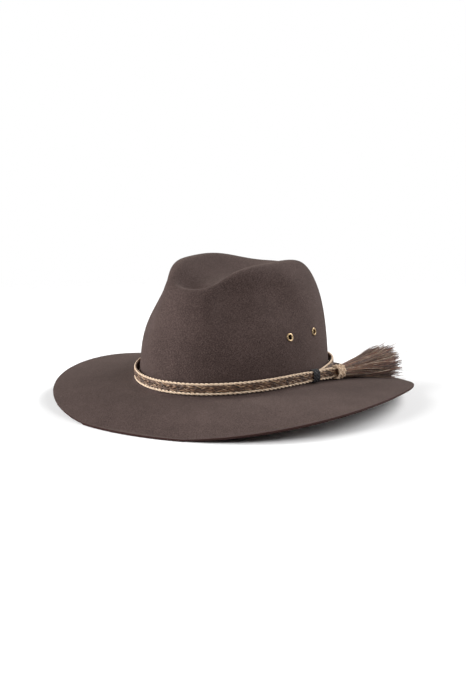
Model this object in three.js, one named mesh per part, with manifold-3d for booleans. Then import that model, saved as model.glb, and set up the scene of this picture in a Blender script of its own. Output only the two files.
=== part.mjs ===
// A wide-brimmed felt hat: one felt body with a pinched, dented crown and a dipping brim, four brass
// eyelets, and a braided horsehair band with twisted edge cords. The band runs once round the crown,
// through a black knot, and on as a tail into a cream ring knot and a tassel that lies on the brim.
// Millimetres, +Z up. The front of the hat looks towards -Y and the wearer's left is +X.
// The origin is on the surface that the brim rests on, under the middle of the brim.

import * as THREE from 'three';
import { mergeVertices } from 'three/addons/utils/BufferGeometryUtils.js';
import Module from 'manifold-3d';

const wasm = await Module();
wasm.setup();

const { degToRad, radToDeg, smoothstep, lerp } = THREE.MathUtils;

// Crown: outside sizes at its foot, and the height of the form before it is creased
const CROWN_LENGTH = 205;
const CROWN_WIDTH = 173;
const CROWN_HEIGHT = 122;
const FOOT_HEIGHT = 24;
const FELT_WALL = 2;

// Brim: full sizes, how far its sides curl above its dips, and how much of the dips lies pressed flat
const BRIM_LENGTH = 340;
const BRIM_WIDTH = 340;
const BRIM_CURL = 22.4;
const BRIM_PRESSED = 2.4;
const BREAK_RADIUS = 8;

// Shape of the oval and of the hand-pressed form
const OVAL_NARROWS = 0.038;
const CROWN_PITCH = degToRad(1.1);
const FOOT_WAVE = 1;
const RIGHT_STANDS_HIGHER = 1.6;

// Brass eyelets in the sides of the crown
const EYELET_HEIGHT = 45;
const EYELET_BORE = 4.2;
const EYELET_BARREL = 5;
const EYELET_FLANGE = 7.8;
const EYELET_LIP = 0.8;

// Band: a flat braid between two twisted cords
const BAND_HEIGHT = 10.6;
const BRAID_THICKNESS = 2.4;
const CORD_DIAMETER = 2.2;
const BAND_STANDOFF = 2.2;

// Knots on the band, and the tassel behind them
const KNOT_SPACING = 30;
const BLACK_KNOT_LENGTH = 8;
const BLACK_KNOT_WALL = 0.9;
const RING_KNOT_DIAMETER = 13.5;
const RING_KNOT_LENGTH = 10;
const RING_KNOT_BORE = 9;
const TASSEL_LENGTH = 74;
const TASSEL_ROOT = 12;
const TASSEL_SPREAD = 32;

// Clearances between pieces
const SEAT = 0.45;
const SNUG = 0.35;
const EYELET_SEAT = 0.7;
const KNOT_SEAT = 0.45;

// The crown's wall at its front, sides and back: squareness is the power of its rounded profile,
// and lean the share of the half width that it loses by the top
const WALLS = {
  front: { squareness: 3.6, lean: 0.126 },
  side: { squareness: 2.85, lean: 0.075 },
  back: { squareness: 4.65, lean: 0.068 },
};

// Creases in each side of the crown. turn, ahead and behind are degrees round from the front, level,
// below and above are shares of the crown's height, depth is a share of its width, edge is how sharply
// the crease begins round the crown, and inward and back are shares of its depth.
const CREASES = {
  pinch: {
    turn: 35.5, ahead: 13, behind: 20, edge: 2,
    level: 0.672, below: 0.225, above: 0.24,
    depth: 0.05, inward: 0.9, back: 0.45,
  },
  flank: {
    turn: 59.5, ahead: 27, behind: 27, edge: 3,
    level: 0.69, below: 0.22, above: 0.15,
    depth: 0.075, inward: 1, back: 0,
  },
};

// The wearer's left creases sit this many degrees ahead of those places, and the right ones behind them
// and shallower by this share
const LEFT_CREASES_AHEAD = 2.5;
const RIGHT_CREASES_LESS = 0.35;

// Share of the crown's half width over which the creases of its two sides fade into each other
const CREASE_BLEND = 0.115;

// The teardrop dent along the top. Places are shares of the crown's half length from its middle,
// width is a share of its half width, depth, low and high are shares of its height.
const TOP_DENT = {
  starts: -0.9,
  full: -0.56,
  fades: 0.23,
  ends: 1.17,
  width: 0.393,
  narrow: 0.596,
  flatness: 2.6,
  depth: 0.24,
  low: 0.75,
  high: 0.97,
};

// The front of the crown is lower than the back: places and drop as in the dent
const FRONT_SLOPE = { starts: -0.86, ends: -0.393, drop: 0.079 };

// The wearer's right of the crown rises above its left over this share of the half width, and from
// one level to another
const RIGHT_RISE = { width: 0.52, low: 0.5, high: 0.95 };

// How fast the brim's curl grows from the dip at the front and at the back to the sides
const CURL_POWER = { front: 1.9, back: 2.61 };
const RIM_SQUARENESS = 2.1;
const BRIM_DROOP = 0.35;

// Places round the crown, in degrees from the front towards the wearer's left
const EYELET_TURNS = { front: 73.5, rear: 94.7 };
const BAND_LEAVES = 70;
const BAND_STARTS = 86;

// Fineness of the meshes
const COLUMNS = 60;
const CROWN_ROWS = 14;
const BREAK_ROWS = 4;
const BRIM_ROWS = [0.24, 0.44, 0.64, 0.82, 0.945, 1];
const CORD_SIDES = 5;
const EYELET_SIDES = 12;
const COLLAR_COLUMNS = 20;
const COLLAR_SIDES = 8;
const RING_COLUMNS = 18;
const RING_SIDES = 10;
const TAIL_STEPS = 16;
const HEAD_SIDES = 14;
const LOCK_SIDES = 6;
const LOCK_STEPS = 6;

// Small turn, in radians, over which directions are measured
const TURN_STEP = 0.01;

const HALF_LENGTH = CROWN_LENGTH / 2;
const HALF_WIDTH = CROWN_WIDTH / 2;
const UP = new THREE.Vector3(0, 0, 1);

const FELT = new THREE.MeshStandardMaterial({ color: 0x544643, roughness: 0.95, metalness: 0 });
const BRASS = new THREE.MeshStandardMaterial({ color: 0xa8916a, roughness: 0.35, metalness: 1 });
const HORSEHAIR = new THREE.MeshStandardMaterial({ color: 0x5b4636, roughness: 0.6, metalness: 0 });
const CREAM_CORD = new THREE.MeshStandardMaterial({ color: 0xd9cbb0, roughness: 0.7, metalness: 0 });
const BLACK_THREAD = new THREE.MeshStandardMaterial({ color: 0x1c1b1d, roughness: 0.6, metalness: 0 });
const TASSEL_HAIR = new THREE.MeshStandardMaterial({ color: 0x7c5b45, roughness: 0.55, metalness: 0 });

// A closed skin through rings of points. Its ends are joined to each other, or closed by fans to a
// pole, which is the ring's middle unless one is given.
function skin(rings, { closed = false, firstPole = null, lastPole = null } = {}) {
  const count = rings[0].length;
  const points = rings.flat();
  const faces = [];
  const spans = closed ? rings.length : rings.length - 1;
  for (let row = 0; row < spans; row += 1) {
    const here = row * count;
    const next = ((row + 1) % rings.length) * count;
    for (let i = 0; i < count; i += 1) {
      const j = (i + 1) % count;
      faces.push(here + i, next + i, next + j, here + i, next + j, here + j);
    }
  }
  if (!closed) {
    const last = (rings.length - 1) * count;
    const first = points.push(firstPole ?? middle(rings[0])) - 1;
    const end = points.push(lastPole ?? middle(rings.at(-1))) - 1;
    for (let i = 0; i < count; i += 1) {
      const j = (i + 1) % count;
      faces.push(first, i, j, end, last + j, last + i);
    }
  }
  const geometry = new THREE.BufferGeometry().setFromPoints(points);
  geometry.setIndex(faces);
  return facingOut(geometry);
}

function middle(ring) {
  const sum = new THREE.Vector3();
  ring.forEach((point) => sum.add(point));
  return sum.divideScalar(ring.length);
}

// Turns a closed geometry's faces over if they point inwards
function facingOut(geometry) {
  const place = geometry.getAttribute('position');
  const index = geometry.getIndex();
  const a = new THREE.Vector3();
  const b = new THREE.Vector3();
  const c = new THREE.Vector3();
  let volume = 0;
  for (let i = 0; i < index.count; i += 3) {
    a.fromBufferAttribute(place, index.getX(i));
    b.fromBufferAttribute(place, index.getX(i + 1));
    c.fromBufferAttribute(place, index.getX(i + 2));
    volume += a.dot(b.cross(c));
  }
  if (volume < 0) geometry.setIndex(Array.from(index.array).reverse());
  return geometry;
}

// Only the positions of a three.js geometry, with its seam and its doubled corners merged
function welded(geometry) {
  const bare = geometry.clone();
  bare.deleteAttribute('normal');
  bare.deleteAttribute('uv');
  return facingOut(mergeVertices(bare));
}

function toSolid(geometry) {
  const bare = welded(geometry);
  const vertProperties = Float32Array.from(bare.getAttribute('position').array);
  const triVerts = Uint32Array.from(bare.getIndex().array);
  return new wasm.Manifold(new wasm.Mesh({ numProp: 3, vertProperties, triVerts }));
}

function fromSolid(solid) {
  const mesh = solid.getMesh();
  const geometry = new THREE.BufferGeometry();
  geometry.setAttribute('position', new THREE.BufferAttribute(mesh.vertProperties, 3));
  geometry.setIndex(Array.from(mesh.triVerts));
  return geometry;
}

function named(name, geometry, material) {
  const mesh = new THREE.Mesh(geometry, material.clone());
  mesh.name = name;
  return mesh;
}

function bump(value, centre, width, edge = 2) {
  return Math.exp(-(Math.abs((value - centre) / width) ** edge));
}

// A wall property between its front, side and back values
function wallAt(turn, property) {
  const front = Math.max(Math.cos(turn), 0) ** 2;
  const back = Math.max(-Math.cos(turn), 0) ** 2;
  const side = Math.sin(turn) ** 2;
  return WALLS.front[property] * front + WALLS.side[property] * side + WALLS.back[property] * back;
}

function creaseDepth(crease, bearing, level) {
  const across = bearing < crease.turn ? crease.ahead : crease.behind;
  const along = level < crease.level ? crease.below : crease.above;
  const round = bump(bearing, crease.turn, across, crease.edge);
  return crease.depth * CROWN_WIDTH * round * bump(level, crease.level, along);
}

function topDentDepth(x, y, level) {
  const place = y / HALF_LENGTH;
  const sinks = smoothstep(place, TOP_DENT.starts, TOP_DENT.full);
  const rises = 1 - smoothstep(place, TOP_DENT.fades, TOP_DENT.ends);
  const opening = lerp(TOP_DENT.narrow, 1, smoothstep(place, TOP_DENT.starts, 0));
  const across = Math.abs(x) / (TOP_DENT.width * HALF_WIDTH * opening);
  const crown = smoothstep(level, TOP_DENT.low, TOP_DENT.high);
  return TOP_DENT.depth * CROWN_HEIGHT * sinks * rises * crown * bump(across, 0, 1, TOP_DENT.flatness);
}

// The felt's crown stands on its foot, waves with it and leans forwards by the pitch
function pitched(x, y, z) {
  const c = Math.cos(CROWN_PITCH);
  const s = Math.sin(CROWN_PITCH);
  return new THREE.Vector3(x, c * y - s * z, FOOT_HEIGHT + s * y + c * z);
}

// Outside of the crown: turn goes round it from the front, climb from its foot at 0 to its top at 90 deg
function crownPoint(turn, climb) {
  const power = wallAt(turn, 'squareness');
  const reachShare = Math.max(Math.cos(climb), 0);
  const levelShare = Math.sin(climb);
  const size = (reachShare ** power + levelShare ** power) ** (-1 / power);
  const level = size * levelShare;
  const inset = 1 - wallAt(turn, 'lean') * level;
  let x = HALF_WIDTH * size * reachShare * inset * Math.sin(turn);
  let y = -HALF_LENGTH * size * reachShare * inset * Math.cos(turn);
  let z = CROWN_HEIGHT * level;
  const slope = 1 - smoothstep(y / HALF_LENGTH, FRONT_SLOPE.starts, FRONT_SLOPE.ends);
  z -= FRONT_SLOPE.drop * CROWN_HEIGHT * slope * level;
  const side = Math.tanh(x / (CREASE_BLEND * HALF_WIDTH));
  const bearing = radToDeg(Math.atan2(Math.abs(x), -y)) + LEFT_CREASES_AHEAD * side;
  const share = 1 - (RIGHT_CREASES_LESS * (1 - side)) / 2;
  for (const crease of Object.values(CREASES)) {
    const depth = share * creaseDepth(crease, bearing, level);
    x -= side * crease.inward * depth;
    y += crease.back * depth;
  }
  z -= topDentDepth(x, y, level);
  const lift = smoothstep(level, RIGHT_RISE.low, RIGHT_RISE.high) * (x / (RIGHT_RISE.width * HALF_WIDTH));
  z -= RIGHT_STANDS_HIGHER * lift;
  z -= FOOT_WAVE * Math.cos(2 * turn) * (1 - level);
  return pitched(x * (1 - OVAL_NARROWS * Math.cos(turn)), y, z);
}

function footPoint(turn) {
  return crownPoint(turn, 0);
}

// The brim's edge, as the top of the cut felt before the surface presses its dips flat
function rimPoint(turn) {
  const s = Math.sin(turn);
  const c = Math.cos(turn);
  const across = Math.abs(s / (BRIM_WIDTH / 2)) ** RIM_SQUARENESS;
  const along = Math.abs(c / (BRIM_LENGTH / 2)) ** RIM_SQUARENESS;
  const radius = (across + along) ** (-1 / RIM_SQUARENESS);
  const power = c > 0 ? CURL_POWER.front : CURL_POWER.back;
  const z = BRIM_CURL * Math.abs(s) ** power - BRIM_PRESSED + FELT_WALL;
  return new THREE.Vector3(radius * s, -radius * c, z);
}

// Top of the brim: share runs from the crown's foot at 0 to the edge at 1
function brimPoint(turn, share) {
  const foot = footPoint(turn);
  const rim = rimPoint(turn);
  const fall = BRIM_DROOP * share + (1 - BRIM_DROOP) * share ** 2;
  const point = foot.clone().lerp(rim, share);
  point.z = Math.max(FELT_WALL, lerp(foot.z, rim.z, fall));
  return point;
}

// The curved break between crown and brim: bend runs from the wall at 0 to the brim at 90 deg
function breakPoint(turn, bend) {
  const foot = footPoint(turn);
  const wallArm = crownPoint(turn, Math.atan(BREAK_RADIUS / CROWN_HEIGHT)).sub(foot);
  const brimArm = brimPoint(turn, breakShare(turn)).sub(foot);
  foot.addScaledVector(wallArm, 1 - Math.sin(bend));
  return foot.addScaledVector(brimArm, 1 - Math.cos(bend));
}

function breakShare(turn) {
  return BREAK_RADIUS / footPoint(turn).distanceTo(rimPoint(turn));
}

// One row of felt points for each station down the crown, round the break and out along the brim
function feltRows() {
  const turns = Array.from({ length: COLUMNS }, (_, i) => (i / COLUMNS) * 2 * Math.PI);
  const lowest = Math.atan(BREAK_RADIUS / CROWN_HEIGHT);
  const rows = [];
  for (let row = 1; row < CROWN_ROWS; row += 1) {
    const climb = lerp(Math.PI / 2, lowest, row / CROWN_ROWS);
    rows.push(turns.map((turn) => crownPoint(turn, climb)));
  }
  for (let row = 0; row <= BREAK_ROWS; row += 1) {
    const bend = (row / BREAK_ROWS) * (Math.PI / 2);
    rows.push(turns.map((turn) => breakPoint(turn, bend)));
  }
  for (const share of BRIM_ROWS) rows.push(turns.map((turn) => brimPoint(turn, share)));
  return rows;
}

// The inner face of the felt, one wall's thickness in from the outside, flat where the brim is pressed
function innerFace(rows, top) {
  const count = rows[0].length;
  const outside = skin(rows, { firstPole: top });
  outside.computeVertexNormals();
  const normals = outside.getAttribute('normal');
  const inward = (point, index) => {
    const normal = new THREE.Vector3().fromBufferAttribute(normals, index);
    const pressed = point.z < FELT_WALL + 1e-6;
    const moved = pressed ? point.clone() : point.clone().addScaledVector(normal, -FELT_WALL);
    moved.z = pressed ? 0 : Math.max(moved.z, 0);
    return moved;
  };
  const inner = rows.map((row, r) => row.map((point, i) => inward(point, r * count + i)));
  return { inner, top: inward(top, rows.length * count) };
}

// Where an eyelet sits on the outside of the crown, and the way out of the felt there
function eyeletSeat(turn) {
  const level = EYELET_HEIGHT / CROWN_HEIGHT;
  const power = wallAt(turn, 'squareness');
  const climb = Math.atan2(level, (1 - level ** power) ** (1 / power));
  const round = crownPoint(turn + TURN_STEP, climb).sub(crownPoint(turn - TURN_STEP, climb));
  const upward = crownPoint(turn, climb + TURN_STEP).sub(crownPoint(turn, climb - TURN_STEP));
  const way = round.cross(upward).normalize();
  return { place: crownPoint(turn, climb), way };
}

function turnedTo(geometry, { place, way }) {
  const turned = geometry.clone();
  turned.applyQuaternion(new THREE.Quaternion().setFromUnitVectors(new THREE.Vector3(0, 1, 0), way));
  return turned.translate(place.x, place.y, place.z);
}

const eyeletSeats = Object.entries(EYELET_TURNS).flatMap(([place, turn]) => [
  { name: `eyelet_left_${place}`, seat: eyeletSeat(degToRad(turn)) },
  { name: `eyelet_right_${place}`, seat: eyeletSeat(degToRad(-turn)) },
]);

function feltBody() {
  const rows = feltRows();
  const top = crownPoint(0, Math.PI / 2);
  const inside = innerFace(rows, top);
  const rings = [...rows, ...inside.inner.reverse()];
  let body = toSolid(skin(rings, { firstPole: top, lastPole: inside.top }));
  const reach = EYELET_BARREL / 2 + SNUG;
  const hole = new THREE.CylinderGeometry(reach, reach, 6 * FELT_WALL, EYELET_SIDES);
  for (const { seat } of eyeletSeats) body = body.subtract(toSolid(turnedTo(hole, seat)));
  return named('felt_body', fromSolid(body), FELT);
}

// A barrel through the felt with a rounded flange on each side of it
function eyeletGeometry() {
  const bore = EYELET_BORE / 2;
  const barrel = EYELET_BARREL / 2;
  const rim = EYELET_FLANGE / 2;
  const outerSeat = EYELET_SEAT;
  const innerSeat = -FELT_WALL - EYELET_SEAT;
  const round = EYELET_LIP * 0.4;
  const shoulder = EYELET_LIP * 0.8;
  const profile = [
    [bore, outerSeat + EYELET_LIP / 2],
    [bore + round, outerSeat + EYELET_LIP],
    [rim - round, outerSeat + shoulder],
    [rim, outerSeat],
    [barrel, outerSeat],
    [barrel, innerSeat],
    [rim, innerSeat],
    [rim - round, innerSeat - shoulder],
    [bore + round, innerSeat - EYELET_LIP],
    [bore, innerSeat - EYELET_LIP / 2],
    [bore, outerSeat + EYELET_LIP / 2],
  ];
  return new THREE.LatheGeometry(profile.map(([x, y]) => new THREE.Vector2(x, y)), EYELET_SIDES);
}

function eyelets() {
  const shape = eyeletGeometry();
  return eyeletSeats.map(({ name, seat }) => named(name, welded(turnedTo(shape, seat)), BRASS));
}

// Level outward direction from the foot of the crown
function outwardAt(turn) {
  const along = footPoint(turn + TURN_STEP).sub(footPoint(turn - TURN_STEP));
  return new THREE.Vector3(along.y, -along.x, 0).normalize();
}

// The lower cord rests in the break, so the band's middle stands this far above the foot
const CORD_RADIUS = CORD_DIAMETER / 2;
const BAND_OUT = BAND_STANDOFF + BRAID_THICKNESS / 2;
const CORD_REACH = BREAK_RADIUS - SEAT - CORD_RADIUS;
const CORD_RISE = BREAK_RADIUS - Math.sqrt(CORD_REACH ** 2 - (BREAK_RADIUS - BAND_OUT) ** 2);
const BAND_RISE = CORD_RISE - CORD_RADIUS + BAND_HEIGHT / 2;

function loopPoint(turn, extra = 0) {
  const point = footPoint(turn).addScaledVector(outwardAt(turn), BAND_OUT + extra);
  return point.addScaledVector(UP, BAND_RISE);
}

// Top of the brim under a point beside the crown, found by halving the range of turns it may lie in
function brimTop(x, y) {
  const bearing = Math.atan2(x, -y);
  const range = 0.3;
  const halvings = 30;
  let low = bearing - range;
  let high = bearing + range;
  const side = (turn) => {
    const foot = footPoint(turn);
    const way = rimPoint(turn).sub(foot);
    return way.x * (y - foot.y) - way.y * (x - foot.x);
  };
  for (let i = 0; i < halvings; i += 1) {
    const half = (low + high) / 2;
    if (side(half) > 0) low = half;
    else high = half;
  }
  const foot = footPoint(low);
  const way = rimPoint(low).sub(foot).setZ(0);
  const share = ((x - foot.x) * way.x + (y - foot.y) * way.y) / way.lengthSq();
  return brimPoint(low, share).z;
}

// The tail leaves the crown along its tangent and runs straight through both knots
const leaveTurn = degToRad(BAND_LEAVES);
const leavePoint = loopPoint(leaveTurn);
const tailLevel = loopPoint(leaveTurn + TURN_STEP).sub(leavePoint).setZ(0).normalize();
const tailSide = new THREE.Vector3(tailLevel.y, -tailLevel.x, 0);
const toBlackKnot = alongTailAt(degToRad(BAND_STARTS));
const toRingKnot = toBlackKnot + KNOT_SPACING;
const ringPlace = leavePoint.clone().addScaledVector(tailLevel, toRingKnot);
ringPlace.z = brimTop(ringPlace.x, ringPlace.y) + SEAT + RING_KNOT_DIAMETER / 2;
const tailWay = ringPlace.clone().sub(leavePoint).normalize();

function alongTailAt(turn) {
  return loopPoint(turn).sub(leavePoint).dot(tailLevel);
}

function tailPoint(along) {
  return leavePoint.clone().lerp(ringPlace, along / toRingKnot);
}

// Knots squeeze the band's height. The ring grips the strip from one place to another, which are
// shares of the ring's length before its middle, and the strip ends inside it.
const BLACK_SQUEEZE = 0.2;
const RING_GRIP = { starts: 1, full: 0.55, ends: 0.1 };
const STRIP_REACH = Math.sqrt((RING_KNOT_BORE / 2 - SNUG) ** 2 - (BRAID_THICKNESS / 2) ** 2);
const STRIP_IN_RING = (STRIP_REACH * 2) / BAND_HEIGHT;

function beforeRing(share) {
  return toRingKnot - RING_KNOT_LENGTH * share;
}

function squeezeAt(along) {
  const black = BLACK_SQUEEZE * bump(along, toBlackKnot, BLACK_KNOT_LENGTH);
  const ring = smoothstep(along, beforeRing(RING_GRIP.starts), beforeRing(RING_GRIP.full));
  return Math.min(1 - black, lerp(1, STRIP_IN_RING, ring));
}

// Stations of the band from its first end inside the black knot, round the back and the front of
// the crown, to the tail's end inside the ring knot. Each holds its place, the way out and its height.
// The knot holds the first end beside the tail, so the band only bends to the crown behind it.
function bandStations() {
  const step = (2 * Math.PI) / COLUMNS;
  const start = degToRad(BAND_STARTS);
  const first = loopPoint(start, BLACK_KNOT_WALL);
  const stations = [];
  const steps = Math.round((2 * Math.PI + leaveTurn - start) / step);
  for (let i = 0; i <= steps; i += 1) {
    const turn = lerp(start, 2 * Math.PI + leaveTurn, i / steps);
    const near = bump(turn - start, 0, 3 * step);
    const place = loopPoint(turn, near * BLACK_KNOT_WALL);
    place.z = lerp(place.z, tailPoint(toBlackKnot).z, near);
    const past = place.clone().sub(first);
    const held = near * bump(past.dot(tailLevel), 0, 1.5 * BLACK_KNOT_LENGTH);
    place.addScaledVector(tailSide, -held * past.dot(tailSide));
    const out = outwardAt(turn).lerp(tailSide, held).normalize();
    stations.push({ place, out, height: 1 - BLACK_SQUEEZE * near });
  }
  for (let i = 1; i <= TAIL_STEPS; i += 1) {
    const along = (i / TAIL_STEPS) * beforeRing(RING_GRIP.ends);
    stations.push({ place: tailPoint(along), out: tailSide, height: squeezeAt(along) });
  }
  return stations;
}

// A strip that follows the band's stations, with its section given as out and up from its middle
function strip(section) {
  const rings = bandStations().map(({ place, out, height }) =>
    section(height).map(([across, upward]) =>
      place.clone().addScaledVector(out, across).addScaledVector(UP, upward)));
  return skin(rings);
}

function braidSection(height) {
  const thick = BRAID_THICKNESS / 2;
  const thin = thick / 2;
  const half = (BAND_HEIGHT * height) / 2 - CORD_DIAMETER - SNUG;
  const shoulder = half * 0.7;
  return [
    [thick, -shoulder],
    [thick, shoulder],
    [thin, half],
    [-thin, half],
    [-thick, shoulder],
    [-thick, -shoulder],
    [-thin, -half],
    [thin, -half],
  ];
}

function cordSection(side) {
  return (height) => Array.from({ length: CORD_SIDES }, (_, i) => {
    const angle = (i / CORD_SIDES) * 2 * Math.PI;
    const middleUp = side * ((BAND_HEIGHT * height) / 2 - CORD_RADIUS);
    return [CORD_RADIUS * Math.cos(angle), middleUp + CORD_RADIUS * Math.sin(angle)];
  });
}

function band() {
  return [
    named('band_braid', strip(braidSection), HORSEHAIR),
    named('edge_cord_upper', strip(cordSection(1)), CREAM_CORD),
    named('edge_cord_lower', strip(cordSection(-1)), CREAM_CORD),
  ];
}

// A wound collar round both layers of the band
function blackKnot() {
  const place = tailPoint(toBlackKnot);
  const inner = loopPoint(degToRad(BAND_STARTS), BLACK_KNOT_WALL);
  const layers = place.clone().sub(inner).dot(tailSide);
  const centre = place.clone().addScaledVector(tailSide, -layers / 2);
  const wall = BLACK_KNOT_WALL / 2;
  const halfThick = (layers + BRAID_THICKNESS) / 2 + KNOT_SEAT + wall;
  const halfTall = (BAND_HEIGHT * (1 - BLACK_SQUEEZE)) / 2 + SEAT + wall;
  const squareness = 4;
  const rings = Array.from({ length: COLLAR_COLUMNS }, (_, i) => {
    const angle = (i / COLLAR_COLUMNS) * 2 * Math.PI;
    const c = Math.cos(angle);
    const s = Math.sin(angle);
    const size = (Math.abs(c) ** squareness + Math.abs(s) ** squareness) ** (-1 / squareness);
    const across = halfThick * size * c;
    const upward = halfTall * size * s;
    const way = tailSide.clone().multiplyScalar(c).addScaledVector(UP, s);
    const spot = centre.clone().addScaledVector(tailSide, across).addScaledVector(UP, upward);
    return Array.from({ length: COLLAR_SIDES }, (__, j) => {
      const around = ((j + 0.5) / COLLAR_SIDES) * 2 * Math.PI;
      const along = (BLACK_KNOT_LENGTH / 2) * Math.cos(around);
      return spot.clone().addScaledVector(way, wall * Math.sin(around)).addScaledVector(tailLevel, along);
    });
  });
  return named('black_knot', skin(rings, { closed: true }), BLACK_THREAD);
}

function ringKnot() {
  const inner = RING_KNOT_BORE / 2;
  const outer = RING_KNOT_DIAMETER / 2;
  const centre = (inner + outer) / 2;
  const profile = Array.from({ length: RING_SIDES + 1 }, (_, i) => {
    const angle = (i / RING_SIDES) * 2 * Math.PI;
    const along = (RING_KNOT_LENGTH / 2) * Math.sin(angle);
    return new THREE.Vector2(centre + (outer - centre) * Math.cos(angle), along);
  });
  const ring = new THREE.LatheGeometry(profile, RING_COLUMNS);
  return named('ring_knot', welded(turnedTo(ring, { place: ringPlace, way: tailWay })), CREAM_CORD);
}

// Locks of the tassel: where each one starts and ends across the tassel, as shares of its root and
// of its spread, outwards and upwards, and its length as a share of the tassel's
const LOCKS = [
  { out: 0, up: 0.05, length: 1 },
  { out: 0.8, up: 0.1, length: 0.9 },
  { out: 0.55, up: 0.62, length: 0.93 },
  { out: 0, up: 0.95, length: 0.88 },
  { out: -0.55, up: 0.6, length: 0.94 },
  { out: -0.8, up: 0.05, length: 0.9 },
  { out: -0.5, up: -0.55, length: 0.95 },
  { out: 0, up: -0.8, length: 0.9 },
  { out: 0.5, up: -0.55, length: 0.96 },
];

// Each lock's middle moves out from rootReach to tipReach, and its half thickness grows from rootGirth
// to tipGirth and thins again at the tip
const LOCK_SHAPE = {
  rootReach: TASSEL_ROOT * 0.28,
  tipReach: TASSEL_SPREAD / 2 - 2,
  rootGirth: TASSEL_ROOT * 0.24,
  tipGirth: TASSEL_SPREAD * 0.17,
  thins: 0.75,
};

const tasselUp = UP.clone().addScaledVector(tailWay, -UP.dot(tailWay)).normalize();
const tasselStart = RING_KNOT_LENGTH / 2 + 1;

function lockGeometry({ out, up, length }) {
  const { rootReach, tipReach, rootGirth, tipGirth, thins } = LOCK_SHAPE;
  const rings = [];
  for (let i = 0; i <= LOCK_STEPS; i += 1) {
    const share = i / LOCK_STEPS;
    const along = tasselStart + share * length * (TASSEL_LENGTH - tasselStart);
    const reach = lerp(rootReach, tipReach, share ** 0.8);
    const girth = lerp(rootGirth, tipGirth, share) * (1 - thins * share ** 4);
    const centre = ringPlace.clone().addScaledVector(tailWay, along);
    centre.addScaledVector(tailSide, out * reach).addScaledVector(tasselUp, up * reach);
    rings.push(Array.from({ length: LOCK_SIDES }, (_, j) => {
      const angle = (j / LOCK_SIDES) * 2 * Math.PI;
      const point = centre.clone().addScaledVector(tailSide, girth * Math.cos(angle));
      return restingOnBrim(point.addScaledVector(tasselUp, girth * Math.sin(angle)));
    }));
  }
  return skin(rings);
}

function restingOnBrim(point) {
  point.z = Math.max(point.z, brimTop(point.x, point.y) + SEAT);
  return point;
}

// The tassel's head: a neck inside the ring knot and a bound root behind it, which the locks grow from
function tasselHead() {
  const neck = RING_KNOT_BORE / 2 - SNUG;
  const root = TASSEL_ROOT / 2;
  const neckStarts = RING_KNOT_LENGTH * RING_GRIP.ends;
  const rootEnds = tasselStart + root;
  const bound = tasselStart + TASSEL_ROOT;
  const profile = [
    [0, neckStarts],
    [neck, neckStarts],
    [neck, tasselStart - SNUG],
    [root, tasselStart],
    [root, rootEnds],
    [root / 2, bound],
    [0, bound],
  ];
  const head = new THREE.LatheGeometry(profile.map(([x, y]) => new THREE.Vector2(x, y)), HEAD_SIDES);
  return turnedTo(head, { place: ringPlace, way: tailWay });
}

function tassel() {
  let body = toSolid(tasselHead());
  for (const lock of LOCKS) body = body.add(toSolid(lockGeometry(lock)));
  return named('tassel', fromSolid(body), TASSEL_HAIR);
}

const hat = new THREE.Group();
hat.add(feltBody(), ...eyelets(), ...band(), blackKnot(), ringKnot(), tassel());

export default hat;
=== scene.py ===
# %% [markdown]
# # A felt hat with a plaited horsehair band
# This lesson dresses a plain model of a hat. The plain model, the frame, is already the right size, so
# nothing here moves or resizes it. Each piece is made again with the finish that the eye expects: felt
# with a nap, brass that has been pressed, plaited and twisted horsehair, and a tassel of single hairs.

import bmesh
import bpy
import numpy as np
from mathutils import Matrix, Vector


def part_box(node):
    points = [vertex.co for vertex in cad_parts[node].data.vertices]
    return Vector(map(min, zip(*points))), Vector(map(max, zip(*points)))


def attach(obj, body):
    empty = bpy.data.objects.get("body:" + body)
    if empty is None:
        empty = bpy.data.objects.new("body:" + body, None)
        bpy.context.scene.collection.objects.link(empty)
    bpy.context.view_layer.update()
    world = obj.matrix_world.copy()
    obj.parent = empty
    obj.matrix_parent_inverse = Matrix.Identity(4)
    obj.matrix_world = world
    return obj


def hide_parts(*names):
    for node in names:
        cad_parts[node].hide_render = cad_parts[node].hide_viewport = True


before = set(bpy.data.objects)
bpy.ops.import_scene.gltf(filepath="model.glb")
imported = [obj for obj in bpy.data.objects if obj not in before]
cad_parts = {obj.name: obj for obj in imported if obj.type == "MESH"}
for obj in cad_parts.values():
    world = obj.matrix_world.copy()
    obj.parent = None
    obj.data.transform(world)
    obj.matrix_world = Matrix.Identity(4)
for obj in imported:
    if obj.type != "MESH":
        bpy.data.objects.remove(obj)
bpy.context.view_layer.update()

# %% [markdown]
# ## The camera
# The camera stands where the photographer stood: a little above the brim, towards the wearer's left. It is
# placed by two angles and a distance, and its lens is given as pixels of focal length, which is how a
# camera is fitted to a picture. Making it first lets every later piece be judged in the right view.

# %% Camera
FRAME_HEIGHT_PX = 700
FOCAL_PX = 1002.6
SENSOR = 36.0
AZIMUTH = np.radians(31.9)
ELEVATION = np.radians(10.2)
DISTANCE = 0.9655
AIM = Vector((0, 0, 0.055))
AIM_SIDEWAYS = -0.001
AIM_UPWARD = -0.009


def direction_at(bearing, rise):
    """The way out from the hat, by an angle round it from its front and an angle above the floor."""
    return Vector((np.sin(bearing) * np.cos(rise), -np.cos(bearing) * np.cos(rise), np.sin(rise)))


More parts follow.
